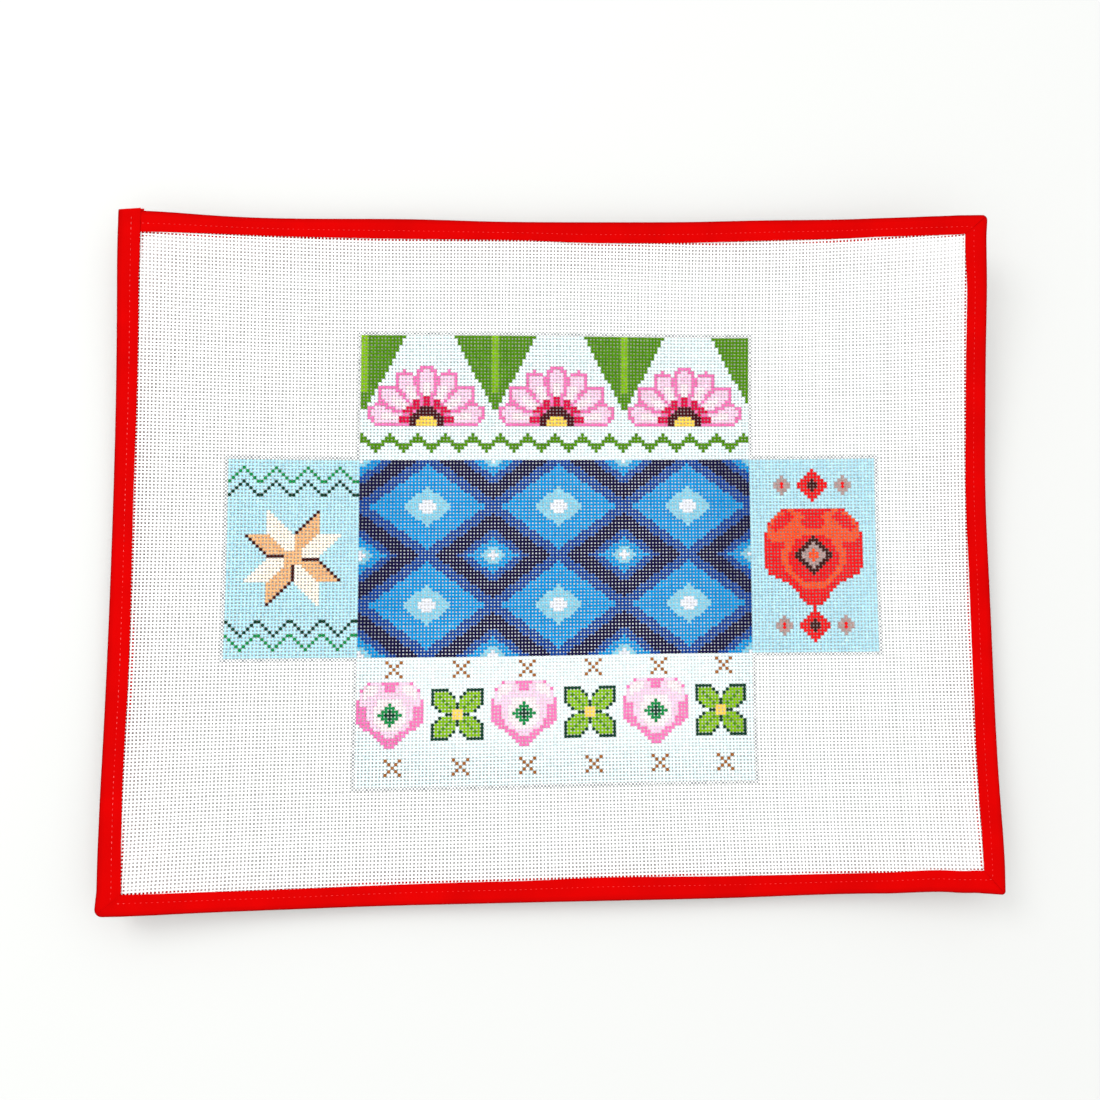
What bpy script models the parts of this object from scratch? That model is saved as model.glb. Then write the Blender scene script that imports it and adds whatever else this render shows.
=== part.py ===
"""Needlepoint canvas panel: one piece of stiff mono canvas, bound on all four edges with folded cotton tape.

The panel lies face up (+Z) with its top edge towards +Y. The stiff cloth has curled a little from being
rolled, so its middle is flat and its edges and corners stand clear of the surface. The cloth is drawn flat
first, as (u, v) from its middle, and lay() then bends a point of it into place. Metres throughout.
"""

import math
from collections import namedtuple

import bmesh
import bpy
from mathutils import Vector

# The open canvas inside the tape, from the middle of the cloth.
HALF_WIDTH = 0.2170
HALF_HEIGHT = 0.1670
SKEW = 0.0103  # the cloth is off square: it leans this far to the right for each metre towards the top

SHEET = 0.0010  # thickness of the canvas, and of one layer of tape
GAP = 0.0003  # clear space between two pieces

# How far each edge of the open canvas stands off the surface: at the start, middle and end of its side (left
# to right, or bottom to top), and how far in from the edge the lift begins.
Curl = namedtuple("Curl", "start middle end reach")
CURLS = {
    "left": Curl(0.0160, 0.0075, 0.0155, 0.150),
    "right": Curl(0.0180, 0.0100, 0.0290, 0.150),
    "top": Curl(0.0040, 0.0120, 0.0030, 0.130),
    "bottom": Curl(0.0020, 0.0075, 0.0015, 0.080),
}

# The outer edge of the tape: its distance from the middle of the cloth, how far it is drawn in at the two
# ends of its side, and one slack swelling of it, with its height, its place along the side and half length.
Edge = namedtuple("Edge", "distance start_in end_in swell place spread")
EDGES = {
    "left": Edge(0.2260, 0.0014, 0.0008, 0.0000, 0.000, 0.060),
    "right": Edge(0.2274, 0.0014, 0.0008, 0.0008, -0.045, 0.060),
    "top": Edge(0.1756, 0.0010, 0.0024, 0.0020, 0.110, 0.050),
    "bottom": Edge(0.1763, 0.0010, 0.0022, 0.0004, 0.090, 0.060),
}
SIDE_HALF_LENGTH = {"left": 0.1765, "right": 0.1765, "top": 0.2265, "bottom": 0.2265}
DRAW_LENGTH = 0.035  # an edge is drawn in over this much of its side at each end

# The binding tape.
TAPE_SHOWING = 0.0095  # width of the front flap
BACK_REACH = 0.0012  # the back flap reaches this much further in than the front one
CORNER_RADIUS = 0.0035  # of the three folded corners, seen from above
MITRE_STEP = 0.0030  # the inner edge within this distance of a corner belongs to its mitre
FRONT = SHEET + GAP + SHEET / 2  # height of the middle of the front flap above the back of the canvas
BACK = -(GAP + SHEET / 2)  # the same for the back flap
FOLD_STEPS = 4  # faces round the fold
OVERLAP_LIFT = SHEET + GAP  # the end of the tape rides this much clear of its start, on both faces
OVERLAP_RAMP = (0.152, 0.163)  # where on the left side the tape starts to rise, and where it has risen
OVERLAP_END = 0.0012  # the end stands this far proud of the top edge
OVERLAP_INSET = 0.0028  # the start of the tape stops this far inside the fold of its end

# Canvas inside the fold of the tape.
CANVAS_INSET = 0.0021  # canvas edge to the outer edge of the tape
CANVAS_CORNER = 0.0018  # extra cut at each corner, on both sides


def steps(start, end, count):
    """count + 1 even values from start to end."""
    return [start + (end - start) * i / count for i in range(count + 1)]


# Grid lines of the cloth: one plain stretch across the flat middle, and even steps out to each edge.
INNER_U = steps(-HALF_WIDTH, -0.067, 8) + steps(0.067, HALF_WIDTH, 8)
INNER_V = steps(-HALF_HEIGHT, -0.087, 5) + steps(0.037, HALF_HEIGHT, 7)


# ---- the lay of the cloth ----


def curl_height(curl, along):
    """Lift of an edge at along, which runs from -1 to 1: the parabola through the curl's three heights."""
    slope = (curl.end - curl.start) / 2
    bend = (curl.end + curl.start) / 2 - curl.middle
    return curl.middle + slope * along + bend * along**2


def curls_at(u, v):
    """Each edge's height, reach, share (0 where its lift begins, 1 at the edge) and way in."""
    across = u / HALF_WIDTH
    up = v / HALF_HEIGHT
    places = {
        "left": (up, HALF_WIDTH + u, (1, 0)),
        "right": (up, HALF_WIDTH - u, (-1, 0)),
        "top": (across, HALF_HEIGHT - v, (0, -1)),
        "bottom": (across, HALF_HEIGHT + v, (0, 1)),
    }
    for side, (along, inside, way_in) in places.items():
        curl = CURLS[side]
        share = max(0.0, 1 - inside / curl.reach)
        yield curl_height(curl, along), curl.reach, share, way_in


def face_point(u, v):
    """The place of a flat point on the back of the canvas. A curl keeps its length, so its edge draws in."""
    x = u + SKEW * v
    y = v
    z = 0.0
    for height, reach, share, way_in in curls_at(u, v):
        drawn_in = 2 * height**2 / (3 * reach) * share**3
        x += way_in[0] * drawn_in
        y += way_in[1] * drawn_in
        z += height * share**2
    return Vector((x, y, z))


def lay(u, v, height=0.0):
    """The place of a flat point that stands height above the back of the canvas."""
    step = 0.0005
    along_u = face_point(u + step, v) - face_point(u - step, v)
    along_v = face_point(u, v + step) - face_point(u, v - step)
    return face_point(u, v) + along_u.cross(along_v).normalized() * height


def edge_distance(side, along):
    """Distance of the tape's outer edge from the middle of the cloth, at along on that side."""
    edge = EDGES[side]
    half = SIDE_HALF_LENGTH[side]
    near_start = max(0.0, 1 - (half + along) / DRAW_LENGTH)
    near_end = max(0.0, 1 - (half - along) / DRAW_LENGTH)
    drawn_in = edge.start_in * near_start**2 + edge.end_in * near_end**2
    return edge.distance - drawn_in + edge.swell * math.exp(-(((along - edge.place) / edge.spread) ** 2))


# ---- canvas ----


def canvas_lines(inner, low_side, high_side, crossing):
    """The grid lines in one direction, with the cut edges of the canvas as they are at crossing."""
    low = -(edge_distance(low_side, crossing) - CANVAS_INSET)
    high = edge_distance(high_side, crossing) - CANVAS_INSET
    return [low, *inner, high]


def canvas_point(column, row):
    """Flat place of one grid crossing. The four corners are cut back a little."""
    u = canvas_lines(INNER_U, "left", "right", 0.0)[column]
    v = canvas_lines(INNER_V, "bottom", "top", u)[row]
    u = canvas_lines(INNER_U, "left", "right", v)[column]
    if column in (0, len(INNER_U) + 1) and row in (0, len(INNER_V) + 1):
        u -= math.copysign(CANVAS_CORNER, u)
        v -= math.copysign(CANVAS_CORNER, v)
    return u, v


def build_canvas(collection):
    mesh_builder = bmesh.new()
    rows = []
    for row in range(len(INNER_V) + 2):
        places = [lay(*canvas_point(column, row)) for column in range(len(INNER_U) + 2)]
        rows.append([mesh_builder.verts.new(place) for place in places])
    bridge_rows(mesh_builder, rows)
    return cloth_object("canvas", mesh_builder, collection, thicken_to=1.0)


# ---- binding ----


def station(side, along):
    """(inner, outer) flat places square across the tape, at along on that side."""
    outer = edge_distance(side, along)
    inner = outer - TAPE_SHOWING
    if side in ("top", "bottom"):
        way_out = 1 if side == "top" else -1
        return Vector((along, way_out * inner)), Vector((along, way_out * outer))
    way_out = 1 if side == "right" else -1
    return Vector((way_out * inner, along)), Vector((way_out * outer, along))


def run_stations(side, inner_lines):
    """Stations along one side, without its two corners."""
    return [station(side, line) for line in inner_lines[1:-1]]


def corner_fan(side_u, side_v, turn_in, turn_out):
    """Three stations round a folded corner, from the run along turn_in to the one along turn_out."""
    sign_u = 1 if side_u == "right" else -1
    sign_v = 1 if side_v == "top" else -1
    outer = Vector(
        (
            sign_u * edge_distance(side_u, sign_v * SIDE_HALF_LENGTH[side_u]),
            sign_v * edge_distance(side_v, sign_u * SIDE_HALF_LENGTH[side_v]),
        )
    )
    diagonal = Vector((sign_u, sign_v))
    inner = outer - diagonal * TAPE_SHOWING
    rounded = outer - diagonal * CORNER_RADIUS * (1 - math.sqrt(0.5))
    before = (inner - turn_in * MITRE_STEP, outer - turn_in * CORNER_RADIUS)
    after = (inner + turn_out * MITRE_STEP, outer + turn_out * CORNER_RADIUS)
    return [before, (inner, rounded), after]


def tape_stations():
    """Stations along the tape, from the top left corner round clockwise to where it starts to rise."""
    right = Vector((1, 0))
    up = Vector((0, 1))
    left_edge = edge_distance("left", HALF_HEIGHT)
    stations = [station("top", -left_edge + OVERLAP_INSET), station("top", -HALF_WIDTH)]
    stations += run_stations("top", INNER_U)
    stations += corner_fan("right", "top", right, -up)
    stations += reversed(run_stations("right", INNER_V))
    stations += corner_fan("right", "bottom", -up, -right)
    stations += reversed(run_stations("bottom", INNER_U))
    stations += corner_fan("left", "bottom", -right, up)
    stations += run_stations("left", INNER_V)
    return stations


def overlap_stations():
    """Stations of the tape's end, up the left side and over its start."""
    end = edge_distance("top", -HALF_WIDTH) + OVERLAP_END
    return [station("left", along) for along in (*OVERLAP_RAMP, HALF_HEIGHT, end)]


def overlap_lift(inner):
    """How far the end of the tape rides clear of its start, at one of its stations."""
    low, high = OVERLAP_RAMP
    return OVERLAP_LIFT * min(1.0, (inner.y - low) / (high - low))


def section(inner, outer, lift=0.0):
    """Places along a station's U section, from the front flap's edge, round the fold, to the back flap's."""
    across = (outer - inner).normalized()
    front = FRONT + lift
    back = BACK - lift
    middle = (front + back) / 2
    radius = (front - back) / 2
    fold = outer - across * (SHEET / 2 + radius)
    places = [lay(*inner, front)]
    for i in range(FOLD_STEPS + 1):
        angle = math.pi * (0.5 - i / FOLD_STEPS)
        places.append(lay(*(fold + across * radius * math.cos(angle)), middle + radius * math.sin(angle)))
    places.append(lay(*(inner - across * BACK_REACH), back))
    return places


def build_binding(collection):
    sections = [section(inner, outer) for inner, outer in tape_stations()]
    sections += [section(inner, outer, overlap_lift(inner)) for inner, outer in overlap_stations()]
    mesh_builder = bmesh.new()
    rows = [[mesh_builder.verts.new(place) for place in places] for places in sections]
    bridge_rows(mesh_builder, rows)
    return cloth_object("binding", mesh_builder, collection, thicken_to=0.0)


# ---- shared ----


def bridge_rows(mesh_builder, rows):
    """Faces between rows of equal length."""
    for row, next_row in zip(rows, rows[1:]):
        for i in range(len(row) - 1):
            mesh_builder.faces.new((row[i], row[i + 1], next_row[i + 1], next_row[i]))


def cloth_object(name, mesh_builder, collection, thicken_to):
    """An object of the open surface, made SHEET thick: above it if thicken_to is 1, both ways if it is 0."""
    mesh = bpy.data.meshes.new(name)
    mesh_builder.to_mesh(mesh)
    mesh_builder.free()
    mesh.materials.append(fabric(name))
    cloth = bpy.data.objects.new(name, mesh)
    collection.objects.link(cloth)
    thicken = cloth.modifiers.new("thickness", "SOLIDIFY")
    thicken.thickness = SHEET
    thicken.offset = thicken_to
    thicken.use_even_offset = True
    return cloth


COLOURS = {"canvas": (0.86, 0.86, 0.85, 1.0), "binding": (0.80, 0.01, 0.01, 1.0)}
ROUGHNESS = {"canvas": 0.85, "binding": 0.80}


def fabric(name):
    material = bpy.data.materials.new(name)
    material.use_nodes = True
    shader = material.node_tree.nodes["Principled BSDF"]
    shader.inputs["Base Color"].default_value = COLOURS[name]
    shader.inputs["Roughness"].default_value = ROUGHNESS[name]
    shader.inputs["Metallic"].default_value = 0.0
    return material


def clear_scene():
    for old in list(bpy.data.objects):
        bpy.data.objects.remove(old, do_unlink=True)


def main():
    clear_scene()
    collection = bpy.data.collections.new("needlepoint_canvas_panel")
    bpy.context.scene.collection.children.link(collection)
    build_canvas(collection)
    build_binding(collection)


main()
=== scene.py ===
import math
from collections import namedtuple

import bpy
import numpy as np
from mathutils import Euler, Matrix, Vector


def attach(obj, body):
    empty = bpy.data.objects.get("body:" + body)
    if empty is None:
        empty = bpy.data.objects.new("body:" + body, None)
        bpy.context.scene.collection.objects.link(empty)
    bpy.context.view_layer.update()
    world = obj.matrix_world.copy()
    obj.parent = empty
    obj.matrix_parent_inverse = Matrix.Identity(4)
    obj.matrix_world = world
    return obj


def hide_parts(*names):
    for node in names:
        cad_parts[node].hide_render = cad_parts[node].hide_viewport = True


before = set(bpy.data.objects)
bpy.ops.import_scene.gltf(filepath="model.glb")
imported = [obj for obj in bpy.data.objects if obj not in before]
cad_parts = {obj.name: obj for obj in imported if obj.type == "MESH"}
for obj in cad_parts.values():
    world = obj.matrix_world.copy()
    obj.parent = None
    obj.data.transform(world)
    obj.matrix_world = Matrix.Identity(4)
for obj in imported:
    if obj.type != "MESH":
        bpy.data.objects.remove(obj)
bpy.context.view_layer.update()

# A painted needlepoint canvas, bound with red cotton tape, lying face up with its edges curled off the table.
# The cloth is drawn flat, as (u, v) in metres from its middle, and lay() bends it as the CAD sheet is bent.

# ---- the lay of the cloth, as in the CAD ----

HALF_WIDTH = 0.2170
HALF_HEIGHT = 0.1670
SKEW = 0.0103

# Lift of an edge at its start, middle and end, and how far into the cloth the curl reaches.
Curl = namedtuple("Curl", "start middle end reach")
CURLS = {
    "left": Curl(0.0160, 0.0075, 0.0155, 0.150),
    "right": Curl(0.0180, 0.0100, 0.0290, 0.150),
    "top": Curl(0.0040, 0.0120, 0.0030, 0.130),
    "bottom": Curl(0.0020, 0.0075, 0.0015, 0.080),
}

# An edge of the tape: its distance from the middle, how far its ends are drawn in, and one swell of its line.
Edge = namedtuple("Edge", "distance start_in end_in swell place spread")
EDGES = {
    "left": Edge(0.2260, 0.0014, 0.0008, 0.0000, 0.000, 0.060),
    "right": Edge(0.2274, 0.0014, 0.0008, 0.0008, -0.045, 0.060),
    "top": Edge(0.1756, 0.0010, 0.0024, 0.0020, 0.110, 0.050),
    "bottom": Edge(0.1763, 0.0010, 0.0022, 0.0004, 0.090, 0.060),
}
SIDE_HALF_LENGTH = {"left": 0.1765, "right": 0.1765, "top": 0.2265, "bottom": 0.2265}
DRAW_LENGTH = 0.035  # an edge is drawn in over this much of its side at each end

# How far the sewn tape strays outwards, in mm, at the turning points of each side, in mm from its middle.
STRAY = {
    "left": ((-176, 0.4), (-165, -0.8), (-109, 0.0), (60, 0.3), (176, 0.5)),
    "right": ((-176, 0.5), (-24, 0.9), (28, 0.6), (80, 1.0), (132, 1.1), (161, 0.6), (176, 1.4)),
    "top": (
        (-226, -0.2), (-168, -0.9), (-80, 0.8), (-27, 0.0),
        (50, 0.6), (166, 0.5), (208, -0.6), (226, -0.2),
    ),
    "bottom": (
        (-226, 0.0), (-209, -0.3), (-114, 0.5), (75, 1.0),
        (165, -0.2), (194, -1.1), (210, -0.2), (224, 2.0),
    ),
}
# Width of the tape on show, in mm, at the turning points of each side.
SHOWING = {
    "left": ((-176, 11.4), (-105, 10.1), (-60, 10.5), (30, 9.8), (130, 10.6), (160, 11.1)),
    "right": ((-176, 10.6), (-76, 10.6), (80, 10.2), (132, 10.1), (161, 10.8)),
    "top": ((-226, 10.8), (-165, 9.1), (-80, 10.3), (-25, 9.5), (25, 11.0), (75, 11.1), (195, 9.6)),
    "bottom": ((-226, 10.0), (-150, 9.5), (-25, 10.4), (25, 11.3), (150, 10.0), (208, 10.6), (226, 11.9)),
}


def curl_height(curl, along):
    """Lift of an edge at along, which runs from -1 to 1: the parabola through the curl's three heights."""
    slope = (curl.end - curl.start) / 2
    bend = (curl.end + curl.start) / 2 - curl.middle
    return curl.middle + slope * along + bend * along**2


def face_point(u, v):
    """Places of flat points on the back of the canvas, as an array with x, y and z last."""
    places = {
        "left": (v / HALF_HEIGHT, HALF_WIDTH + u, (1, 0)),
        "right": (v / HALF_HEIGHT, HALF_WIDTH - u, (-1, 0)),
        "top": (u / HALF_WIDTH, HALF_HEIGHT - v, (0, -1)),
        "bottom": (u / HALF_WIDTH, HALF_HEIGHT + v, (0, 1)),
    }
    x = u + SKEW * v
    y = v
    z = np.zeros_like(x)
    for side, (along, inside, way_in) in places.items():
        curl = CURLS[side]
        share = np.maximum(0.0, 1 - inside / curl.reach)
        height = curl_height(curl, along)
        drawn_in = 2 * height**2 / (3 * curl.reach) * share**3
        x = x + way_in[0] * drawn_in
        y = y + way_in[1] * drawn_in
        z = z + height * share**2
    return np.stack([x, y, z], axis=-1)


SLOPE_STEP = 0.0005  # the cloth's slope is measured this far to each side of a point


def lay(u, v, height=0.0):
    """Places of flat points that stand height above the back of the canvas."""
    u, v, height = np.broadcast_arrays(np.asarray(u, float), np.asarray(v, float), height)
    along_u = face_point(u + SLOPE_STEP, v) - face_point(u - SLOPE_STEP, v)
    along_v = face_point(u, v + SLOPE_STEP) - face_point(u, v - SLOPE_STEP)
    normal = np.cross(along_u, along_v)
    normal /= np.linalg.norm(normal, axis=-1, keepdims=True)
    return face_point(u, v) + normal * height[..., None]


def between(places, along):
    """Value at along, in metres, eased from one place to the next."""
    for (start, before), (end, after) in zip(places, places[1:]):
        if along * 1000 < end:
            share = max(0.0, (along * 1000 - start) / (end - start))
            return (before + (after - before) * share * share * (3 - 2 * share)) / 1000
    return places[-1][1] / 1000


def edge_distance(side, along):
    """Distance of the tape's outer edge from the middle of the cloth, at along on that side."""
    edge = EDGES[side]
    half = SIDE_HALF_LENGTH[side]
    near_start = max(0.0, 1 - (half + along) / DRAW_LENGTH)
    near_end = max(0.0, 1 - (half - along) / DRAW_LENGTH)
    drawn_in = edge.start_in * near_start**2 + edge.end_in * near_end**2
    swell = edge.swell * math.exp(-(((along - edge.place) / edge.spread) ** 2))
    return edge.distance - drawn_in + swell + between(STRAY[side], along)


# ---- helpers ----


def mesh_object(name, points, quads, material):
    """A smooth mesh object of (n, 3) points and (m, 4) corner indices, riding on the root body."""
    mesh = bpy.data.meshes.new(name)
    mesh.vertices.add(len(points))
    mesh.vertices.foreach_set("co", np.asarray(points, np.float32).ravel())
    mesh.loops.add(quads.size)
    mesh.loops.foreach_set("vertex_index", quads.astype(np.int32).ravel())
    mesh.polygons.add(len(quads))
    mesh.polygons.foreach_set("loop_start", np.arange(0, quads.size, 4, dtype=np.int32))
    mesh.update(calc_edges=True)
    mesh.validate()
    mesh.shade_smooth()
    mesh.materials.append(material)
    piece = bpy.data.objects.new(name, mesh)
    bpy.context.scene.collection.objects.link(piece)
    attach(piece, "root")
    return piece


def tube_quads(rings, sides):
    """Corner indices of the walls of a tube of rings * sides points. Its two ends stay open."""
    ring = np.arange(rings - 1)[:, None] * sides
    side = np.arange(sides)[None, :]
    after = (side + 1) % sides
    walls = np.stack([ring + side, ring + after, ring + sides + after, ring + sides + side], axis=-1)
    return walls.reshape(-1, 4)


def set_bake_map(mesh, coordinates):
    """The UV map to bake into: one (x, y) for each face corner."""
    layer = mesh.uv_layers.new(name="OFBake")
    layer.uv.foreach_set("vector", np.asarray(coordinates, np.float32).ravel())


def set_colours(mesh, name, colours):
    """A linear colour for each point."""
    attribute = mesh.color_attributes.new(name, "FLOAT_COLOR", "POINT")
    rgba = np.ones((len(colours), 4), np.float32)
    rgba[:, :3] = colours
    attribute.data.foreach_set("color", rgba.ravel())


def linear(colour):
    """Linear RGB of a colour given as it is seen on a screen, 0 to 255."""
    share = np.asarray(colour, float) / 255
    return np.where(share <= 0.04045, share / 12.92, ((share + 0.055) / 1.055) ** 2.4)


def wander(u, v, length, seed):
    """A smooth wave over the cloth, about -1 to 1, whose bumps are about length across."""
    total = 0.0
    for turn in range(3):
        angle = 2.4 * turn + 1.7 * seed
        phase = 1.3 * seed + 2.1 * turn
        total = total + np.sin((u * math.cos(angle) + v * math.sin(angle)) * math.tau / length + phase)
        length = length * 0.71
    return total / 2.2


# ---- the painted design, charted on the threads ----

# The fold-up net of a brick-shaped cover: a middle panel with a flap on each side, in threads.
Panel = namedtuple("Panel", "left bottom width height")
NET = {
    "middle": Panel(-57, -30, 114, 58),
    "top": Panel(-57, 28, 114, 37),
    "bottom": Panel(-57, -67, 114, 37),
    "left": Panel(-94, -30, 37, 58),
    "right": Panel(57, -30, 37, 58),
}

PAINTS = {
    "bare": (253, 253, 251),
    "dots": (132, 138, 142),
    "aqua": (230, 247, 250),
    "sky": (180, 222, 236),
    "navy": (8, 6, 54),
    "royal": (8, 60, 142),
    "cerulean": (0, 140, 204),
    "ice": (130, 196, 218),
    "mist": (224, 226, 234),
    "leaf": (76, 136, 4),
    "lime": (128, 180, 14),
    "pine": (8, 54, 36),
    "needle": (16, 136, 66),
    "rose": (236, 120, 178),
    "blush": (252, 206, 228),
    "petal": (253, 228, 232),
    "crimson": (206, 0, 64),
    "maroon": (66, 4, 14),
    "yellow": (250, 205, 90),
    "tan": (232, 178, 128),
    "cream": (255, 238, 222),
    "brown": (60, 14, 10),
    "stem": (156, 96, 42),
    "red": (226, 8, 14),
    "orange": (248, 80, 36),
    "taupe": (176, 150, 146),
}
PAINT_NAMES = list(PAINTS)
PAINT_SHARE = 0.86  # the light is bright, so the paints are this much darker than they look


EVERYWHERE = slice(None)


def paint(chart, where, name):
    """Gives the crossings picked out by where, an index or a mask, the number of the named paint."""
    chart[where] = PAINT_NAMES.index(name)


def middle_panel(chart, x, y):
    """Florentine lozenges: rings of blue round two sets of diamonds that fit each other."""
    half_width, half_height = 19.0, 14.5
    column = np.abs((x % (2 * half_width)) - half_width) / half_width
    row = np.abs((y % (2 * half_height)) - half_height) / half_height
    ring = column + row
    bands = [
        (0.00, "mist"), (0.16, "ice"), (0.40, "cerulean"), (0.88, "royal"), (1.12, "navy"),
        (1.46, "royal"), (1.62, "cerulean"), (1.80, "ice"), (1.92, "mist"),
    ]
    for start, name in bands:
        paint(chart, ring >= start, name)


def fan(chart, x, y, radius):
    """A pleated fan that opens upwards from (0, 0), with a scalloped rim."""
    distance = np.hypot(x, y)
    turn = np.arctan2(y, x) / math.pi * 7
    pleat = np.abs(turn % 1 - 0.5) * 2
    rim = radius - 2.6 * pleat**2
    open_side = y >= 0
    paint(chart, open_side & (distance < rim), "rose")
    paint(chart, open_side & (distance < rim - 1.4) & (pleat < 0.72), "blush")
    paint(chart, open_side & (distance < rim - 4.5) & (pleat < 0.35), "petal")
    paint(chart, open_side & (distance < radius * 0.46) & (pleat < 0.75), "crimson")
    paint(chart, open_side & (distance < radius * 0.30), "maroon")
    paint(chart, open_side & (distance < radius * 0.17), "yellow")


def top_panel(chart, x, y):
    """A border of pink fans, with green pennants between them and a green zigzag under them."""
    paint(chart, EVERYWHERE, "aqua")
    spacing = 38
    across = np.abs((x - 0.5) % spacing - spacing / 2)
    from_side = spacing / 2 - across
    depth = 36 - y
    paint(chart, from_side * 1.9 + depth < 22.5, "leaf")
    paint(chart, (from_side < 0.8) & (depth < 17), "lime")
    paint(chart, np.abs(y - 3 - np.abs(x % 8 - 4) * 0.75) < 1.2, "leaf")
    for flower in range(3):
        fan(chart, x - spacing * (flower + 0.5) + 0.5, y - 10, 17.5)


def heart_shape(x, y, size):
    """How far inside a heart about (0, 0) each thread lies: under 0 inside."""
    x = x / size
    y = y / size
    return (x**2 + y**2 - 1) ** 3 - x**2 * y**3


def bottom_panel(chart, x, y):
    """Pale pink hearts and lime quatrefoils by turns, between two rows of small brown crosses."""
    paint(chart, EVERYWHERE, "aqua")
    spacing = 19
    for place in range(6):
        from_x = x - spacing * (place + 0.5) + 0.5
        from_y = y - 20
        if place % 2 == 0:
            heart = heart_shape(from_x, from_y, 7.6)
            paint(chart, heart < 0.14, "rose")
            paint(chart, heart < -0.03, "blush")
            paint(chart, heart < -0.20, "petal")
            paint(chart, np.abs(from_x) + np.abs(from_y) < 3.6, "needle")
            paint(chart, np.abs(from_x) + np.abs(from_y) < 1.6, "pine")
            continue
        distance = np.hypot(from_x, from_y)
        lobe = np.abs(np.sin(2 * np.arctan2(from_y, from_x)))
        edge = 3.2 + 6.8 * lobe
        paint(chart, distance < edge, "pine")
        paint(chart, distance < edge - 1.3, "lime")
        paint(chart, (lobe > 0.985) & (distance < edge - 2.6), "leaf")
        paint(chart, distance < 1.6, "yellow")
    step = np.abs((x - 0.5) % spacing - spacing / 2)
    for row in (5, 33):
        on_arm = np.abs(step - np.abs(y - row)) < 0.8
        paint(chart, on_arm & (step <= 2.6), "stem")


def zigzags(chart, x, y, first, way):
    """Two zigzag lines, one over the other."""
    for line in range(2):
        height = first + way * (4 * line + np.abs(x % 9 - 4.5))
        paint(chart, np.abs(y - height) < 1.0, ("needle", "pine")[line])


def left_panel(chart, x, y):
    """An eight-pointed patchwork star in tans, between green zigzags."""
    paint(chart, EVERYWHERE, "sky")
    zigzags(chart, x + 0.5, y, 2, 1)
    zigzags(chart, x + 0.5, y, 55, -1)
    from_x = x - 18
    from_y = y - 28.5
    size = 7
    wide = np.abs(from_x)
    tall = np.abs(from_y)
    star = (np.minimum(wide, tall) <= size) & (np.abs(wide - tall) <= size)
    turn = (from_x > 0).astype(int) + (from_y > 0) + (wide > tall)
    paint(chart, star & (turn % 2 == 0), "tan")
    paint(chart, star & (turn % 2 == 1), "cream")
    rim = star & ((np.abs(wide - tall) > size - 1) | (np.minimum(wide, tall) < 0.6))
    paint(chart, rim & (turn % 2 == 0), "brown")
    paint(chart, np.maximum(wide, tall) < 2.5, "tan")


def right_panel(chart, x, y):
    """A folk heart in red, with small lozenges over and under it."""
    paint(chart, EVERYWHERE, "sky")
    heart = heart_shape(x - 18, y - 27.5, 12.0)
    paint(chart, heart < 0.10, "red")
    paint(chart, heart < -0.06, "orange")
    paint(chart, heart < -0.24, "red")
    lozenge = np.abs(x - 18) + np.abs(y - 28.5)
    paint(chart, lozenge < 6.5, "brown")
    paint(chart, lozenge < 4.5, "taupe")
    paint(chart, lozenge < 2.5, "orange")
    for centre in (7.5, 49.5):
        small = np.abs(x - 18) + np.abs(y - centre)
        paint(chart, small < 5.5, "red")
        paint(chart, small < 2.5, "brown")
    for side in (-9, 9):
        for centre in (7.5, 49.5):
            small = np.abs(x - 18 - side) + np.abs(y - centre)
            paint(chart, small < 3.2, "taupe")
            paint(chart, small < 1.2, "red")


PAINTERS = {
    "middle": middle_panel,
    "top": top_panel,
    "bottom": bottom_panel,
    "left": left_panel,
    "right": right_panel,
}

# ---- the canvas ----

PITCH_U = 0.0254 / 14
PITCH_V = 0.001783
COLUMNS = 245
ROWS = 193
THREAD_WIDTH = 0.00092
PAINT_SWELL = 0.15  # paint makes a thread this much wider
THREAD_THICK = 0.00028
MID_HEIGHT = 0.00026
WEAVE_RISE = 0.00010
THREAD_SIDES = 4
THREAD_UNEVEN = 0.06  # share by which a thread's width varies
CELL_DRIFT = 0.00022  # how far the grid wanders
THREAD_DRIFT = 0.00005  # how far a single thread lies off the grid
FULL_REACH = 1.3  # of a cell, so that the paint of one crossing meets the next one's
DOT_REACH = 0.35  # of a cell, for the least of the grey marks round each panel
DOT_REACH_SPREAD = 0.30
SHADE_UNEVEN = 0.04  # share by which the paint's strength varies
SEEP = (1.0, 1.0, 0.15, 0.15)  # how much of the paint reaches each of a thread's four faces
BAKE_SPAN = 0.455  # metres of cloth across the bake map


def painted_chart():
    """Paint number of each crossing, by column and row."""
    columns, rows = np.meshgrid(np.arange(COLUMNS), np.arange(ROWS), indexing="ij")
    columns = columns - COLUMNS // 2
    rows = rows - ROWS // 2
    chart = np.zeros((COLUMNS, ROWS), int)
    for name, panel in NET.items():
        x = columns - panel.left
        y = rows - panel.bottom
        rim = (x >= -1) & (x <= panel.width) & (y >= -1) & (y <= panel.height)
        inside = (x >= 0) & (x < panel.width) & (y >= 0) & (y < panel.height)
        paint(chart, rim & ~inside & (chart == 0), "dots")
        drawn = chart.copy()
        PAINTERS[name](drawn, x.astype(float), y.astype(float))
        chart[inside] = drawn[inside]
    return chart


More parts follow.
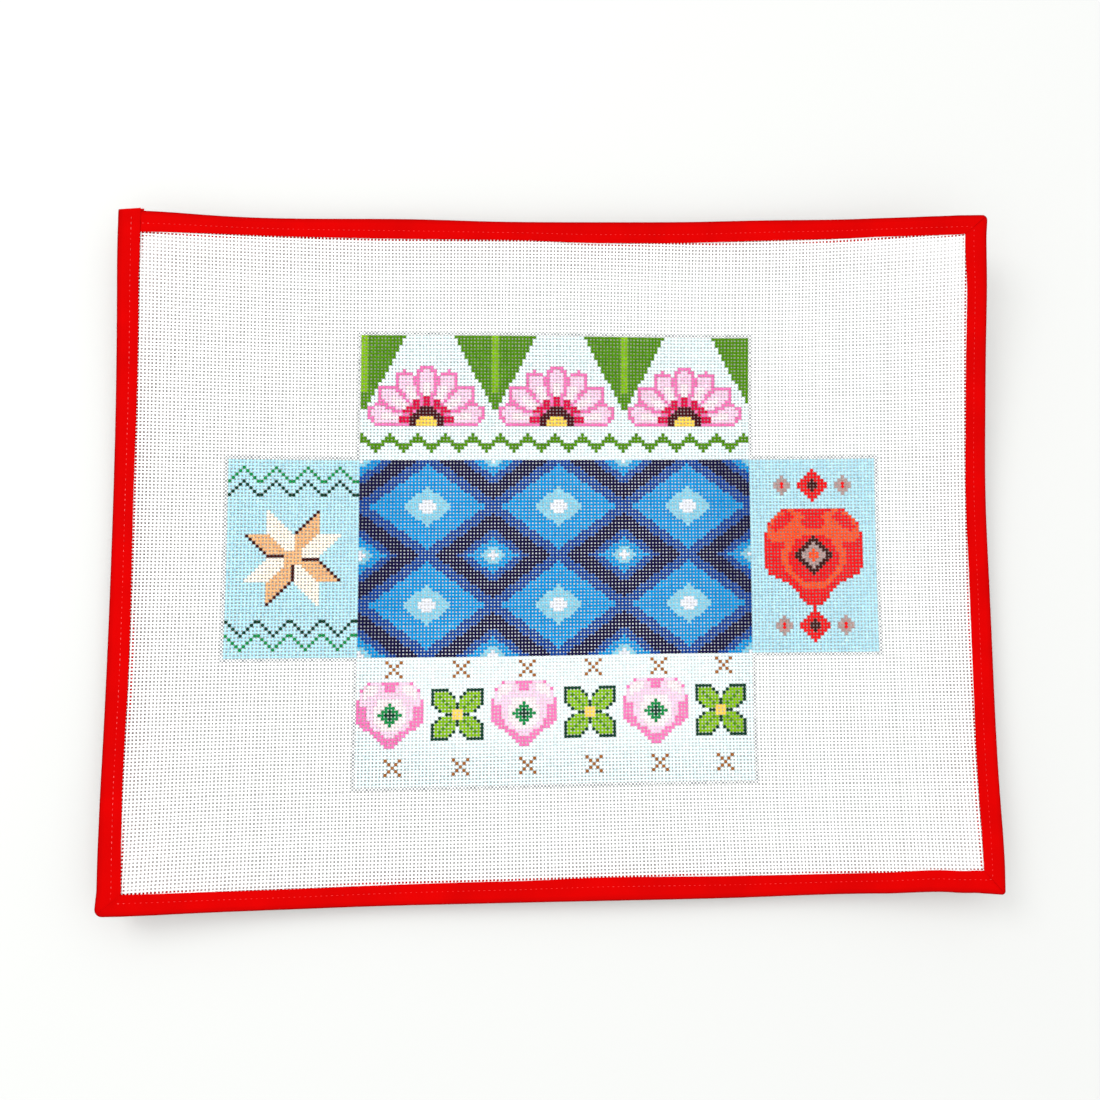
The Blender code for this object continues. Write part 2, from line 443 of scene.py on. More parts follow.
def painted_colours(chart):
    """Linear red, green and blue of the paint at each crossing, and the share of a cell that it covers."""
    random = np.random.default_rng(14)
    colours = np.array([linear(PAINTS[name]) for name in PAINT_NAMES])[chart] * PAINT_SHARE
    shade = 1 + SHADE_UNEVEN * random.standard_normal(chart.shape)
    marks = chart == PAINT_NAMES.index("dots")
    reach = np.where(marks, DOT_REACH + DOT_REACH_SPREAD * random.random(chart.shape), FULL_REACH)
    colours = np.where((chart > 0)[..., None], colours * shade[..., None], linear(PAINTS["bare"]))
    return np.concatenate([np.clip(colours, 0, 1), reach[..., None]], axis=-1)


def crossing_places():
    """Flat u and v of all crossings by column and row: an even grid, with the drift of real threads."""
    random = np.random.default_rng(5)
    u = (np.arange(COLUMNS) - COLUMNS // 2 + 0.5) * PITCH_U
    v = (np.arange(ROWS) - ROWS // 2 + 0.5) * PITCH_V
    u, v = np.meshgrid(u, v, indexing="ij")
    u_drift = CELL_DRIFT * wander(u, v, 0.19, 1) + THREAD_DRIFT * random.standard_normal((COLUMNS, 1))
    v_drift = CELL_DRIFT * wander(u, v, 0.23, 2) + THREAD_DRIFT * random.standard_normal((1, ROWS))
    return u + u_drift, v + v_drift


def thread_family(u, v, runs_up, over, swell):
    """Points of all threads one way, by thread, crossing, side of the thread's section, and x, y, z."""
    random = np.random.default_rng(8 if runs_up else 9)
    threads = u.shape[0] if runs_up else u.shape[1]
    wide = THREAD_WIDTH / 2 * (1 + THREAD_UNEVEN * random.standard_normal(threads))
    wide = (wide[:, None] if runs_up else wide[None, :]) * swell
    half = THREAD_THICK / 2
    height = MID_HEIGHT + np.where(over, WEAVE_RISE, -WEAVE_RISE)
    to_u = wide if runs_up else 0.0
    to_v = 0.0 if runs_up else wide
    sides = [
        lay(u - to_u, v + to_v, height),
        lay(u, v, height + half),
        lay(u + to_u, v - to_v, height),
        lay(u, v, height - half),
    ]
    points = np.stack(sides, axis=2)
    return points if runs_up else points.transpose(1, 0, 2, 3)


def face_colours(colours, marks_here):
    """Colours and reach of the paint on each of a thread's faces, by thread, crossing and face.

    The small marks are only where marks_here says that this thread passes over the other.
    """
    bare = np.append(linear(PAINTS["bare"]), 1.0)
    faces = []
    for seep in SEEP:
        faces.append(bare + (colours - bare) * np.array([seep, seep, seep, 1.0]))
    faces = np.stack(faces, axis=2)
    reach = faces[..., 3]
    without_marks = np.where(reach < 1, 0.0, FULL_REACH)
    faces[..., 3] = np.where(marks_here[..., None], reach, without_marks)
    return faces


def set_face_colours(mesh, name, colours, spare):
    """A colour for each wall face of the threads, and the spare colours for the caps after them."""
    attribute = mesh.attributes.new(name, "FLOAT_COLOR", "FACE")
    attribute.data.foreach_set("color", np.concatenate([colours, spare]).astype(np.float32).ravel())


def add_threads(name, points, paints, plan, runs_up, material):
    """One piece of closed threads. The arrays are by thread, crossing and side."""
    threads, crossings = points.shape[:2]
    each = crossings * THREAD_SIDES
    first = (np.arange(threads) * each)[:, None, None]
    walls = (tube_quads(crossings, THREAD_SIDES)[None] + first).reshape(-1, 4)
    caps = np.array([[3, 2, 1, 0], [each - 4, each - 3, each - 2, each - 1]])
    ends = (caps[None] + first).reshape(-1, 4)
    quads = np.concatenate([walls, ends])
    piece = mesh_object(name, points.reshape(-1, 3), quads, material)
    spare = np.tile(np.append(linear(PAINTS["bare"]), FULL_REACH), (len(ends), 1))
    set_face_colours(piece.data, "paint_before", paints[:, :-1].reshape(-1, 4), spare)
    set_face_colours(piece.data, "paint_after", paints[:, 1:].reshape(-1, 4), spare)
    place = piece.data.attributes.new("place", "FLOAT", "POINT")
    along = np.broadcast_to(np.arange(crossings)[None, :, None], points.shape[:3])
    place.data.foreach_set("value", along.astype(np.float32).ravel())
    set_bake_map(piece.data, thread_bake_map(plan, quads, runs_up))
    return piece


def thread_bake_map(plan, quads, runs_up):
    """Face corners on a plan of the cloth, with the backs of the threads in a half of their own."""
    corners = plan.reshape(-1, 2)[quads]
    on_back = (quads % THREAD_SIDES == 3).any(axis=1)
    corners[on_back, :, 0 if runs_up else 1] += 0.5
    return corners


def bake_plan(u, v, runs_up):
    """Places of the four sides of each thread on the bake map, by thread, crossing and side."""
    shift = THREAD_WIDTH / 2 * np.array([-1.0, 0.0, 1.0, 0.0])
    flat_u = u[..., None] + (shift if runs_up else 0 * shift)
    flat_v = v[..., None] - (0 * shift if runs_up else shift)
    flat_u = flat_u - flat_u.min()
    flat_v = flat_v - flat_v.min()
    return np.stack([flat_u, flat_v], axis=-1) / BAKE_SPAN


def build_canvas(material):
    """The woven canvas as four pieces: the upright threads and the level ones, each in two halves."""
    u, v = crossing_places()
    chart = painted_chart()
    colours = painted_colours(chart)
    swell = 1 + PAINT_SWELL * ((chart > 0) & (chart != PAINT_NAMES.index("dots")))
    column, row = np.indices(u.shape)
    upright_over = (column + row) % 2 == 0
    upright = thread_family(u, v, True, upright_over, swell)
    level = thread_family(u, v, False, ~upright_over, swell)
    upright_paint = face_colours(colours, upright_over)
    level_paint = face_colours(colours.transpose(1, 0, 2), ~upright_over.T)
    left = slice(0, COLUMNS // 2)
    right = slice(COLUMNS // 2, COLUMNS)
    low = slice(0, ROWS // 2)
    high = slice(ROWS // 2, ROWS)
    parts = [
        ("canvas_warp_left", upright, upright_paint, u, v, True, left),
        ("canvas_warp_right", upright, upright_paint, u, v, True, right),
        ("canvas_weft_bottom", level, level_paint, u.T, v.T, False, low),
        ("canvas_weft_top", level, level_paint, u.T, v.T, False, high),
    ]
    pieces = []
    for name, points, paints, flat_u, flat_v, runs_up, some in parts:
        plan = bake_plan(flat_u[some], flat_v[some], runs_up)
        pieces.append(add_threads(name, points[some], paints[some], plan, runs_up, material))
    return pieces


# ---- the binding ----

TAPE_THICK = 0.00040
FRONT = 0.00100  # height of the middle of the front flap
BACK = -0.00026
BACK_REACH = 0.0012  # the back flap is this much wider than the front one
STATION_STEP = 0.0020
FLAP_SHARES = (0.0, 0.04, 0.22, 0.36, 0.42, 0.48, 0.62, 0.80)  # across the front flap, from its edge
BACK_SHARES = (0.3, 0.6, 0.96, 1.0)  # across the back flap, from the fold
FOLD_STEPS = 6
CUT_EDGE = 0.5  # share of the tape's thickness that is left at its two edges
SHARP_ANGLE = math.radians(50)
PAINTED_FOLD_SHADE = (0.58, 0.0, 0.0, 1)  # painted shade: the tape's colour is darker along its fold, where shade falls
PAINTED_FOLD_SHADE_START = 0.35  # share of that painted shade where the front flap ends and the fold begins
OVERLAP_RAMP = (0.152, 0.163)  # where, along the left side, the tape's end climbs onto its start
OVERLAP_LIFT = 0.00046
OVERLAP_STATIONS = 14
OVERLAP_END = 0.0004
OVERLAP_SLANT = 0.0008  # the cut end of the tape slopes this much from its middle to each edge
OVERLAP_INSET = 0.0028  # the tape's start lies this far inside its left edge
MITRE_STEP = 0.0010  # a corner's stations start and end this far from its inner corner
TUCK_RISE = 0.00045
TUCK_AT_EDGE = 0.3  # share of that rise at the tape's inner edge, from where it grows towards the fold
CORNER_CLEAR = 0.0135  # a side's stations end this far before the corner
CORNER_LOOK = 0.012  # the width on show at a corner is the one this far before it
CORNER_RADII = {"right top": 0.0030, "right bottom": 0.0020, "left bottom": 0.0040}
CORNER_SHARES = (0.0, 0.12, 0.24, 0.36, 0.485, 0.515, 0.64, 0.76, 0.88, 1.0)  # of a corner's quarter turn
STITCH_SHARE = 0.40  # place of the stitch line across the front flap, from its inner edge
FURROW_DEPTH = 0.00013
FURROW_SPREAD = 0.0007
BAKE_ROWS = 8
END_SQUARE = ((0.985, 0.985), (0.99, 0.985), (0.99, 0.99), (0.985, 0.99))  # of the bake map, for the cut ends

# Unevenness of the front flap: a height in metres, and radians a metre along and across the tape.
Wave = namedtuple("Wave", "height along across")
PUCKER = Wave(0.00010, 420, 300)
SLACK = Wave(0.00012, 83, 150)

# Unevenness of the back flap's edge: a reach in metres, radians a metre along the tape, and a start.
EdgeWave = namedtuple("EdgeWave", "reach along start")
BACK_WAVES = (EdgeWave(0.0004, 19, 1.1), EdgeWave(0.0003, 53, 0.0))

Station = namedtuple("Station", "inner outer lift tuck")


def side_station(side, along, lift=0.0):
    """A station square across the tape, at along on that side."""
    outer = edge_distance(side, along)
    inner = outer - between(SHOWING[side], along)
    if side in ("top", "bottom"):
        way_out = 1 if side == "top" else -1
        return Station(Vector((along, way_out * inner)), Vector((along, way_out * outer)), lift, 0.0)
    way_out = 1 if side == "right" else -1
    return Station(Vector((way_out * inner, along)), Vector((way_out * outer, along)), lift, 0.0)


def run(side, start, end):
    """Stations along one side from start to end."""
    count = max(1, round(abs(end - start) / STATION_STEP))
    return [side_station(side, start + (end - start) * i / count) for i in range(count + 1)]


def corner_points(side_u, side_v):
    """The outer and the inner corner of the tape where two sides meet, and the signs of u and v there."""
    sign_u = 1 if side_u == "right" else -1
    sign_v = 1 if side_v == "top" else -1
    along_u = sign_v * SIDE_HALF_LENGTH[side_u]
    along_v = sign_u * SIDE_HALF_LENGTH[side_v]
    outer = Vector((sign_u * edge_distance(side_u, along_u), sign_v * edge_distance(side_v, along_v)))
    near_u = along_u - sign_v * CORNER_LOOK
    near_v = along_v - sign_u * CORNER_LOOK
    inner_u = edge_distance(side_u, near_u) - between(SHOWING[side_u], near_u)
    inner_v = edge_distance(side_v, near_v) - between(SHOWING[side_v], near_v)
    return outer, Vector((sign_u * inner_u, sign_v * inner_v)), Vector((sign_u, sign_v))


def corner(side_u, side_v, turn_in, turn_out):
    """Stations round a folded corner. Its mitre's tuck rises towards the diagonal, and drops after it."""
    outer, inner, signs = corner_points(side_u, side_v)
    radius = CORNER_RADII[side_u + " " + side_v]
    centre = outer - signs * radius
    stations = []
    for share in CORNER_SHARES:
        angle = share * math.pi / 2
        outer_point = centre + radius * (turn_in * math.sin(angle) - turn_out * math.cos(angle))
        if share < 0.5:
            inner_point = inner - turn_in * MITRE_STEP * (1 - 2 * share)
        else:
            inner_point = inner + turn_out * MITRE_STEP * (2 * share - 1)
        tuck = TUCK_RISE * 2 * share if share < 0.5 else 0.0
        stations.append(Station(inner_point, outer_point, 0.0, tuck))
    return stations


def tape_stations():
    """Stations along the tape, from the top left corner round clockwise, and up over its own start."""
    right = Vector((1, 0))
    up = Vector((0, 1))
    end_u = SIDE_HALF_LENGTH["top"] - CORNER_CLEAR
    end_v = SIDE_HALF_LENGTH["left"] - CORNER_CLEAR
    start_u = -edge_distance("left", HALF_HEIGHT) + OVERLAP_INSET
    low, high = OVERLAP_RAMP
    end = edge_distance("top", -HALF_WIDTH) + OVERLAP_END
    stations = run("top", start_u, end_u)
    stations += corner("right", "top", right, -up)
    stations += run("right", end_v, -end_v)
    stations += corner("right", "bottom", -up, -right)
    stations += run("bottom", end_u, -end_u)
    stations += corner("left", "bottom", -right, up)
    stations += run("left", -end_v, low - STATION_STEP)
    for along in np.linspace(low, end, OVERLAP_STATIONS):
        rise = min(1.0, (along - low) / (high - low))
        stations.append(side_station("left", float(along), OVERLAP_LIFT * rise))
    stations[-1].inner.y += OVERLAP_SLANT
    stations[-1].outer.y -= OVERLAP_SLANT
    return stations


def wave_height(wave, travelled, way):
    """Height of a wave at travelled along the tape and way across it."""
    return wave.height * math.sin(travelled * wave.along + way * wave.across)


def front_rise(station, travelled, way, flap_length):
    """Rise of the front flap over FRONT, at way from its edge: the tuck, the waves and the stitch furrow."""
    length = (station.outer - station.inner).length
    tuck = station.tuck * (TUCK_AT_EDGE + way / length)
    pucker = wave_height(PUCKER, travelled, way) * math.sin(math.pi * way / flap_length)
    slack = wave_height(SLACK, travelled, way)
    furrow = FURROW_DEPTH * math.exp(-(((way - STITCH_SHARE * length) / FURROW_SPREAD) ** 2))
    return tuck + pucker + slack - furrow


def tape_section(station, travelled, outside):
    """Places round one face of the tape at a station: its outer face if outside is 1, its inner one if -1.

    They run from the edge of the front flap, round the fold, to the edge of the back flap.
    """
    across = (station.outer - station.inner).normalized()
    front = FRONT + station.lift
    back = BACK - station.lift
    radius = (front - back) / 2
    middle = (front + back) / 2
    skin = TAPE_THICK / 2 * outside
    fold = station.outer - across * (TAPE_THICK / 2 + radius)
    flap_length = (fold - station.inner).length
    places, height = [], []
    for share in FLAP_SHARES:
        way = share * flap_length
        edge = CUT_EDGE if share == 0.0 else 1.0
        places.append(station.inner + across * way)
        height.append(front + skin * edge + front_rise(station, travelled, way, flap_length))
    for i in range(FOLD_STEPS + 1):
        angle = math.pi * (0.5 - i / FOLD_STEPS)
        tuck = station.tuck * max(0.0, math.sin(angle))
        places.append(fold + across * (radius + skin) * math.cos(angle))
        height.append(middle + (radius + skin) * math.sin(angle) + tuck)
    reach = BACK_REACH
    for wave in BACK_WAVES:
        reach += wave.reach * math.sin(travelled * wave.along + wave.start)
    for share in BACK_SHARES:
        edge = CUT_EDGE if share == 1.0 else 1.0
        places.append(fold - across * (flap_length + reach) * share)
        height.append(back - skin * edge)
    u = [place.x for place in places]
    v = [place.y for place in places]
    return u, v, height


def way_along(stations):
    """Distance of each station from the first, along a line midway between the tape's two edges."""
    travelled = [0.0]
    for before, after in zip(stations, stations[1:]):
        step = (after.outer - before.outer) + (after.inner - before.inner)
        travelled.append(travelled[-1] + step.length / 2)
    return travelled


def painted_fold_shade_share(sides):
    """How much of the painted fold shade each of a ring's points takes. Only the tape's outer face is painted
    darker.
    """
    share = np.zeros(sides)
    flap = len(FLAP_SHARES)
    share[flap] = PAINTED_FOLD_SHADE_START
    share[flap + 1 : flap + FOLD_STEPS] = 1.0
    return share


def build_binding(material):
    """The tape as one closed strip, with its stations and how far along it each is."""
    stations = tape_stations()
    travelled = way_along(stations)
    loops = []
    for station, way in zip(stations, travelled):
        outer = np.array(tape_section(station, way, 1))
        inner = np.array(tape_section(station, way, -1))
        loops.append(np.concatenate([outer, inner[:, ::-1]], axis=1))
    flat = np.stack(loops)
    points = lay(flat[:, 0], flat[:, 1], flat[:, 2])
    rings, sides = points.shape[:2]
    quads = tube_quads(rings, sides)
    half = sides // 2
    start = np.array([[i + 1, i, sides - 1 - i, sides - 2 - i] for i in range(half - 1)])
    end = start[:, ::-1] + (rings - 1) * sides
    piece = mesh_object("binding_tape", points.reshape(-1, 3), np.concatenate([quads, start, end]), material)
    piece.data.set_sharp_from_angle(angle=SHARP_ANGLE)
    # painted shade along the tape's fold, kept as a point attribute
    painted_fold_shade = piece.data.attributes.new("painted_fold_shade", "FLOAT", "POINT")
    painted_fold_shade.data.foreach_set("value", np.tile(painted_fold_shade_share(sides), rings))
    map_tape(piece.data, quads, len(start) * 2, rings, sides)
    return piece, stations, travelled


def map_tape(mesh, quads, end_faces, rings, sides):
    """The tape's bake map: its length is cut into rows, one above another, with its ends at the top right."""
    in_row = math.ceil((rings - 1) / BAKE_ROWS)
    ring = quads // sides
    side = (quads % sides).astype(float)
    wraps = side.max(axis=1) - side.min(axis=1) > 1
    side[wraps] = np.where(side[wraps] == 0, sides, side[wraps])
    row = ring.min(axis=1) // in_row
    x = 0.01 + 0.97 * (ring - row[:, None] * in_row) / in_row
    y = (row[:, None] + 0.04 + 0.90 * side / sides) / BAKE_ROWS
    walls = np.stack([x, y], axis=-1)
    ends = np.tile(np.array(END_SQUARE), (end_faces, 1, 1))
    set_bake_map(mesh, np.concatenate([walls, ends]))


# ---- stitching ----

STITCH_PITCH = 0.0026
STITCH_LENGTH = 0.0012
STITCH_THICK = 0.00030
STITCH_RINGS = 5
STITCH_SIDES = 6
STITCH_ENDS = 0.45  # thickness of a stitch's ends, as a share of its middle's
STITCH_START = 0.0004  # from its needle hole
STITCH_SINK = 0.00030  # how far a stitch's ends lie below its middle
STITCH_ROUND = 0.6  # the power that makes the rise of a stitch steeper at its ends
FIRST_HOLE = 0.006  # from the tape's start
LAST_HOLE = 0.003  # at least, from its end
STITCH_BAKE_SPAN = 0.48
THREAD_RED = (214, 4, 6)
THREAD_PALE = (240, 120, 120)
PALER_LEFT_OF = -0.21  # the thread is palest to the left of this u
LEFT_PALE_MOST = 0.55  # most share of the pale colour there
PALE = 0.09  # most share of it elsewhere
PALE_POWER = 1.5  # few stitches are as pale as that


def stitch_line(stations):
    """Needle holes, evenly along the tape: flat u and v, and how far the tape is raised there."""
    line = []
    for station in stations:
        place = station.inner.lerp(station.outer, STITCH_SHARE)
        line.append((place.x, place.y, station.lift + station.tuck * (TUCK_AT_EDGE + STITCH_SHARE)))
    line = np.array(line)
    steps = np.linalg.norm(np.diff(line[:, :2], axis=0), axis=1)
    way = np.concatenate([[0], np.cumsum(steps)])
    holes = np.arange(FIRST_HOLE, way[-1] - LAST_HOLE, STITCH_PITCH)
    return np.stack([np.interp(holes, way, line[:, i]) for i in range(3)], axis=1)


def stitch_points(holes, surface, outside):
    """Points of a row of stitches, by stitch, point round its rings, and x, y, z."""
    start = holes[:-1]
    along = holes[1:, :2] - holes[:-1, :2]
    along = along / np.linalg.norm(along, axis=1, keepdims=True)
    side = np.stack([-along[:, 1], along[:, 0]], axis=1)
    share = np.linspace(0, 1, STITCH_RINGS)
    lift = np.sin(share * math.pi) ** STITCH_ROUND
    points = []
    for i in range(STITCH_RINGS):
        thick = STITCH_THICK / 2 * (STITCH_ENDS + (1 - STITCH_ENDS) * lift[i])
        centre = start[:, :2] + along * (STITCH_START + STITCH_LENGTH * share[i])
        dip = STITCH_SINK * (1 - lift[i])
        rise = surface + outside * (start[:, 2] + TAPE_THICK / 2 - dip)
        for k in range(STITCH_SIDES):
            angle = math.tau * k / STITCH_SIDES
            place = centre + side * thick * math.cos(angle)
            points.append(lay(place[:, 0], place[:, 1], rise + thick * math.sin(angle)))
    return np.stack(points, axis=1)


def stitch_quads(count):
    """Corner indices of count closed stitches. Two quads close each end of a stitch."""
    each = STITCH_RINGS * STITCH_SIDES
    first_cap = np.array([[3, 2, 1, 0], [5, 4, 3, 0]])
    last_cap = np.array([[0, 1, 2, 3], [0, 3, 4, 5]]) + each - STITCH_SIDES
    one = np.concatenate([tube_quads(STITCH_RINGS, STITCH_SIDES), first_cap, last_cap])
    return (one[None] + (np.arange(count) * each)[:, None, None]).reshape(-1, 4)


def stitch_colours(u, random):
    """Linear colour of each stitch, by its place from left to right: red, and paler on the left side."""
    most = np.where(u < PALER_LEFT_OF, LEFT_PALE_MOST, PALE)
    pale = (most * random.random(len(u)) ** PALE_POWER)[:, None]
    return linear(THREAD_RED) * (1 - pale) + linear(THREAD_PALE) * pale


def build_stitches(name, holes, surface, outside, material):
    """One row of stitches, each a short thread that dips into the tape at both ends."""
    random = np.random.default_rng(3)
    points = stitch_points(holes, surface, outside)
    count, each = points.shape[:2]
    quads = stitch_quads(count)
    piece = mesh_object(name, points.reshape(-1, 3), quads, material)
    plan = points.reshape(-1, 3)[:, :2] / STITCH_BAKE_SPAN + 0.5
    set_bake_map(piece.data, plan[quads])
    colours = stitch_colours(holes[:-1, 0], random)
    set_colours(piece.data, "thread", np.repeat(colours, each, axis=0))
    return piece


# ---- materials ----

THROUGH = 0.0003  # metres that light travels inside the threads
RAGGED = 0.06  # share of a cell by which a paint's edge wanders
EDGE_SOFTNESS = 0.03  # share of a cell, to each side of a paint's edge
TAPE_SHADES = ((0.382, 0.0, 0.0, 1), (0.432, 0.0, 0.0, 1))
BUMP_HEIGHT = 0.0001


def new_material(name):
    """A material with its nodes and its links."""
    material = bpy.data.materials.new(name)
    material.use_nodes = True
    return material, material.node_tree.nodes, material.node_tree.links


def noise(nodes, links, place, scale, detail):
    """The value of a Noise texture on the piece's own coordinates."""
    texture = nodes.new("ShaderNodeTexNoise")
    texture.inputs["Scale"].default_value = scale
    texture.inputs["Detail"].default_value = detail
    links.new(place.outputs["Object"], texture.inputs["Vector"])
    return texture.outputs["Fac"]


def remap(nodes, links, value, low, high, to_low=0.0, to_high=1.0):
    """A value clamped between low and high, and stretched to run from to_low to to_high."""
    node = nodes.new("ShaderNodeMapRange")
    node.inputs["From Min"].default_value = low
    node.inputs["From Max"].default_value = high
    node.inputs["To Min"].default_value = to_low
    node.inputs["To Max"].default_value = to_high
    links.new(value, node.inputs["Value"])
    return node.outputs["Result"]


def compute(nodes, links, operation, first, second=None):
    """A Math node. Either input is a socket or a number."""
    node = nodes.new("ShaderNodeMath")
    node.operation = operation
    for socket, value in zip(node.inputs, (first, second)):
        if value is None:
            continue
        if isinstance(value, (int, float)):
            socket.default_value = value
        else:
            links.new(value, socket)
    return node.outputs["Value"]


def mix_colours(nodes, links, share, first, second, blend="MIX"):
    """A colour Mix node. Each colour is a socket or four numbers."""
    node = nodes.new("ShaderNodeMix")
    node.data_type = "RGBA"
    node.blend_type = blend
    if isinstance(share, float):
        node.inputs["Factor"].default_value = share
    else:
        links.new(share, node.inputs["Factor"])
    for socket, colour in (("A", first), ("B", second)):
        if isinstance(colour, tuple):
            node.inputs[socket].default_value = colour
        else:
            links.new(colour, node.inputs[socket])
    return node.outputs["Result"]


def attribute(nodes, name):
    """A node that reads the named attribute of the mesh."""
    node = nodes.new("ShaderNodeAttribute")
    node.attribute_name = name
    return node


def add_bump(nodes, links, shader, height, strength):
    """Roughens the shader's surface by the height socket."""
    bump = nodes.new("ShaderNodeBump")
    bump.inputs["Strength"].default_value = strength
    bump.inputs["Distance"].default_value = BUMP_HEIGHT
    links.new(height, bump.inputs["Height"])
    links.new(bump.outputs["Normal"], shader.inputs["Normal"])


def paint_sockets(nodes, links, place):
    """A thread's paint and how much of it there is, from the crossings before and after each point."""
    before = attribute(nodes, "paint_before")
    after = attribute(nodes, "paint_after")
    along = attribute(nodes, "place")
    ragged = remap(nodes, links, noise(nodes, links, place, 1500, 1), 0.2, 0.8, -RAGGED, RAGGED)
    share = compute(nodes, links, "FRACT", along.outputs["Fac"])
    share = compute(nodes, links, "ADD", share, ragged)
    past_middle = remap(nodes, links, share, 0.5 - EDGE_SOFTNESS, 0.5 + EDGE_SOFTNESS)
    colour = mix_colours(nodes, links, past_middle, before.outputs["Color"], after.outputs["Color"])
    gap = compute(nodes, links, "SUBTRACT", after.outputs["Alpha"], before.outputs["Alpha"])
    step = compute(nodes, links, "MULTIPLY", gap, past_middle)
    reach = compute(nodes, links, "ADD", before.outputs["Alpha"], step)
    half_reach = compute(nodes, links, "MULTIPLY", reach, 0.5)
    from_middle = compute(nodes, links, "ABSOLUTE", compute(nodes, links, "SUBTRACT", share, 0.5))
    from_crossing = compute(nodes, links, "SUBTRACT", 0.5, from_middle)
    inside = compute(nodes, links, "SUBTRACT", half_reach, from_crossing)
    covered = remap(nodes, links, inside, -EDGE_SOFTNESS, EDGE_SOFTNESS)
    return colour, covered


def canvas_material():
    """Sized cotton threads, bare or painted, that let some light through."""
    material, nodes, links = new_material("canvas")
    shader = nodes["Principled BSDF"]
    place = nodes.new("ShaderNodeTexCoord")
    paint_colour, covered = paint_sockets(nodes, links, place)
    bare = tuple(linear(PAINTS["bare"])) + (1.0,)
    colour = mix_colours(nodes, links, covered, bare, paint_colour)
    fibres = noise(nodes, links, place, 2600, 3)
    shade = remap(nodes, links, fibres, 0.25, 0.75, 0.95, 1.02)
    colour = mix_colours(nodes, links, 1.0, colour, shade, "MULTIPLY")
    links.new(colour, shader.inputs["Base Color"])
    add_bump(nodes, links, shader, fibres, 0.25)
    shader.inputs["Roughness"].default_value = 0.72
    shader.inputs["Specular IOR Level"].default_value = 0.10
    shader.inputs["Subsurface Weight"].default_value = 1.0
    shader.inputs["Subsurface Radius"].default_value = (1.0, 1.0, 1.0)
    shader.inputs["Subsurface Scale"].default_value = THROUGH
    return material


def tape_material():
    """Red cotton tape with a fine grain, with shade painted darker along its fold."""
    material, nodes, links = new_material("binding")
    shader = nodes["Principled BSDF"]
    place = nodes.new("ShaderNodeTexCoord")
    weave = noise(nodes, links, place, 1900, 4)
    broad = noise(nodes, links, place, 45, 3)
    ramp = nodes.new("ShaderNodeValToRGB")
    for element, position, shade in zip(ramp.color_ramp.elements, (0.3, 0.7), TAPE_SHADES):
        element.position = position
        element.color = shade
    links.new(broad, ramp.inputs["Fac"])
    # painted shade: the colour is multiplied darker along the fold
    painted_fold_shade = attribute(nodes, "painted_fold_shade")
    colour = mix_colours(nodes, links, painted_fold_shade.outputs["Fac"], ramp.outputs["Color"], PAINTED_FOLD_SHADE, "MULTIPLY")
    links.new(colour, shader.inputs["Base Color"])
    add_bump(nodes, links, shader, weave, 0.3)
    shader.inputs["Roughness"].default_value = 0.85
    shader.inputs["Specular IOR Level"].default_value = 0.02
    return material


def stitch_material():
    """Sewing thread, in the colour that each stitch holds."""
    material, nodes, links = new_material("stitching")
    shader = nodes["Principled BSDF"]
    colour = nodes.new("ShaderNodeVertexColor")
    colour.layer_name = "thread"
    links.new(colour.outputs["Color"], shader.inputs["Base Color"])
    shader.inputs["Roughness"].default_value = 0.5
    shader.inputs["Specular IOR Level"].default_value = 0.3
    return material


def floor_material():
    """A plain pale surface. The light is bright, so it looks paler than its colour here."""
    material, nodes, _ = new_material("floor")
    shader = nodes["Principled BSDF"]
    shader.inputs["Base Color"].default_value = (0.492, 0.498, 0.489, 1)
    shader.inputs["Roughness"].default_value = 0.7
    shader.inputs["Specular IOR Level"].default_value = 0.2
    return material


# ---- stage ----

SIDE_LIGHT = 0.72
TOP_LIGHT = 2.22
WINDOW_PLACE = (-1.0, 0.8, 1.3)
WINDOW_SIZE = 0.9
WINDOW_POWER = 13.0
WINDOW_COLOUR = (1.0, 1.0, 0.99)
BOUNCES = 12  # enough for the light that passes between the threads
TABLE_REACH = 3.0


def build_stage():
    """A plain pale table."""
    reach = TABLE_REACH
    points = [(-reach, -reach, 0), (reach, -reach, 0), (reach, reach, 0), (-reach, reach, 0)]
    mesh = bpy.data.meshes.new("table")
    mesh.from_pydata(points, [], [(0, 1, 2, 3)])
    mesh.materials.append(floor_material())
    table = bpy.data.objects.new("table", mesh)
    bpy.context.scene.collection.objects.link(table)


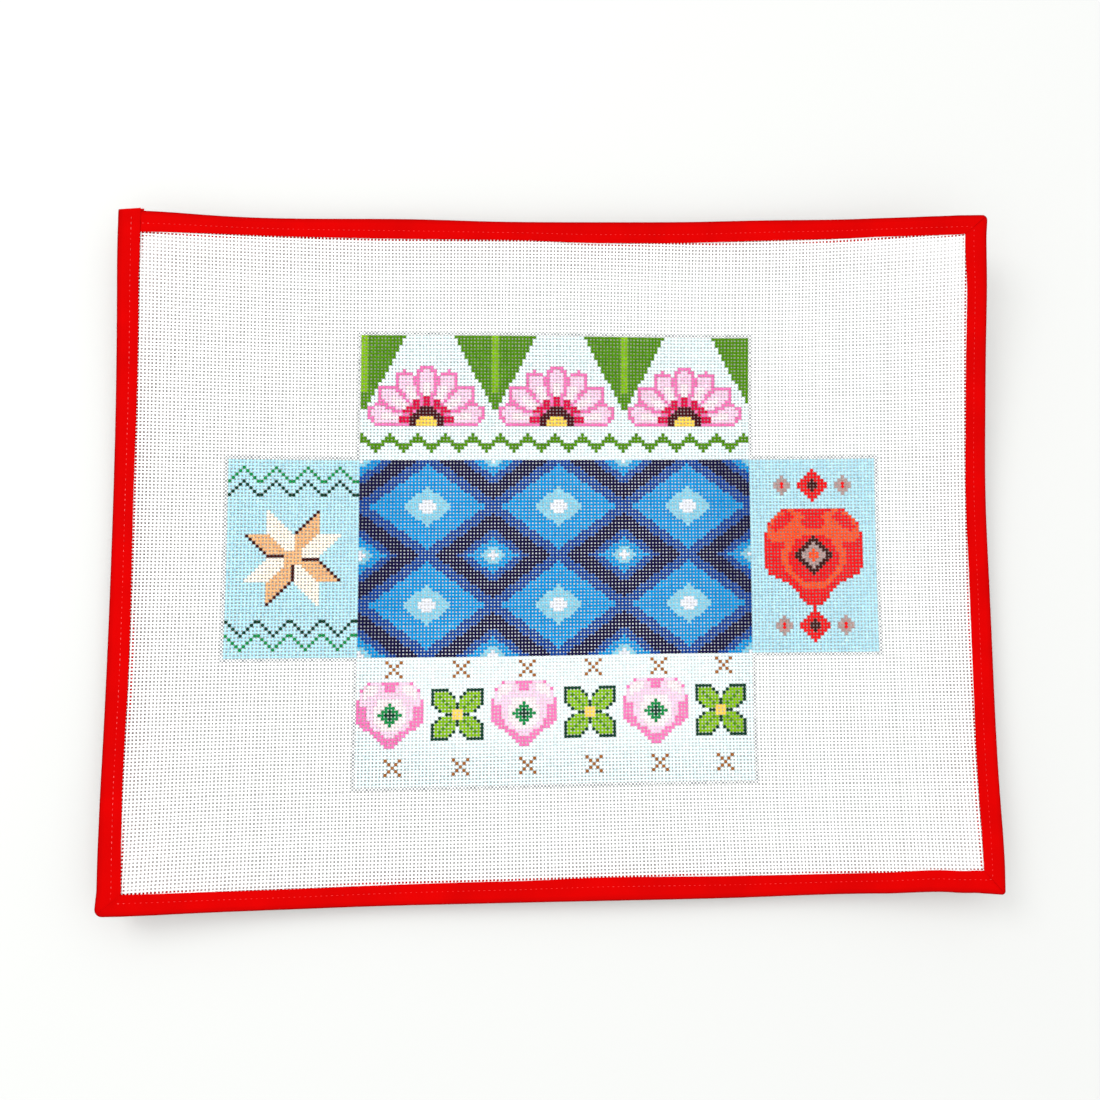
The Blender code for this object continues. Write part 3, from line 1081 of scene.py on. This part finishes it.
def add_window():
    """A round soft light that faces the middle of the cloth."""
    light = bpy.data.lights.new("window", "AREA")
    light.shape = "DISK"
    light.size = WINDOW_SIZE
    light.energy = WINDOW_POWER
    light.color = WINDOW_COLOUR
    lamp = bpy.data.objects.new("window", light)
    lamp.location = WINDOW_PLACE
    lamp.rotation_euler = (-Vector(WINDOW_PLACE)).to_track_quat("-Z", "Y").to_euler()
    bpy.context.scene.collection.objects.link(lamp)


def build_lights():
    """A bright room, brighter overhead than at its sides, with a soft window up and to the left."""
    world = bpy.data.worlds.new("room")
    bpy.context.scene.world = world
    world.use_nodes = True
    nodes = world.node_tree.nodes
    links = world.node_tree.links
    sky = nodes["Background"]
    sky.inputs["Color"].default_value = (1.0, 1.0, 1.0, 1)
    way = nodes.new("ShaderNodeTexCoord")
    parts = nodes.new("ShaderNodeSeparateXYZ")
    links.new(way.outputs["Generated"], parts.inputs["Vector"])
    strength = remap(nodes, links, parts.outputs["Z"], 0.0, 1.0, SIDE_LIGHT, TOP_LIGHT)
    links.new(strength, sky.inputs["Strength"])
    add_window()
    bpy.context.scene.view_settings.view_transform = "Standard"
    bpy.context.scene.cycles.diffuse_bounces = BOUNCES


CAMERA_PLACE = (-0.04136, -0.05171, 0.55435)
CAMERA_TURN = (5.549, -3.828, -0.689)  # degrees from looking straight down, with the design upright
LENS = 34.69  # mm, on a sensor 36 mm wide


def build_camera():
    """The camera over the cloth, a little below its middle and to the left."""
    data = bpy.data.cameras.new("camera")
    data.lens = LENS
    data.sensor_width = 36.0
    data.clip_start = 0.01
    camera = bpy.data.objects.new("camera", data)
    camera.location = CAMERA_PLACE
    camera.rotation_euler = Euler([math.radians(turn) for turn in CAMERA_TURN], "XYZ")
    bpy.context.scene.collection.objects.link(camera)
    bpy.context.scene.camera = camera


def main():
    """The whole scene."""
    build_camera()
    build_lights()
    build_stage()
    canvas = build_canvas(canvas_material())
    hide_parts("canvas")
    tape, stations, travelled = build_binding(tape_material())
    holes = stitch_line(stations)
    thread = stitch_material()
    front_row = build_stitches("stitches_front", holes, FRONT, 1, thread)
    back_row = build_stitches("stitches_back", holes, BACK, -1, thread)
    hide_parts("binding")
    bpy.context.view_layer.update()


main()
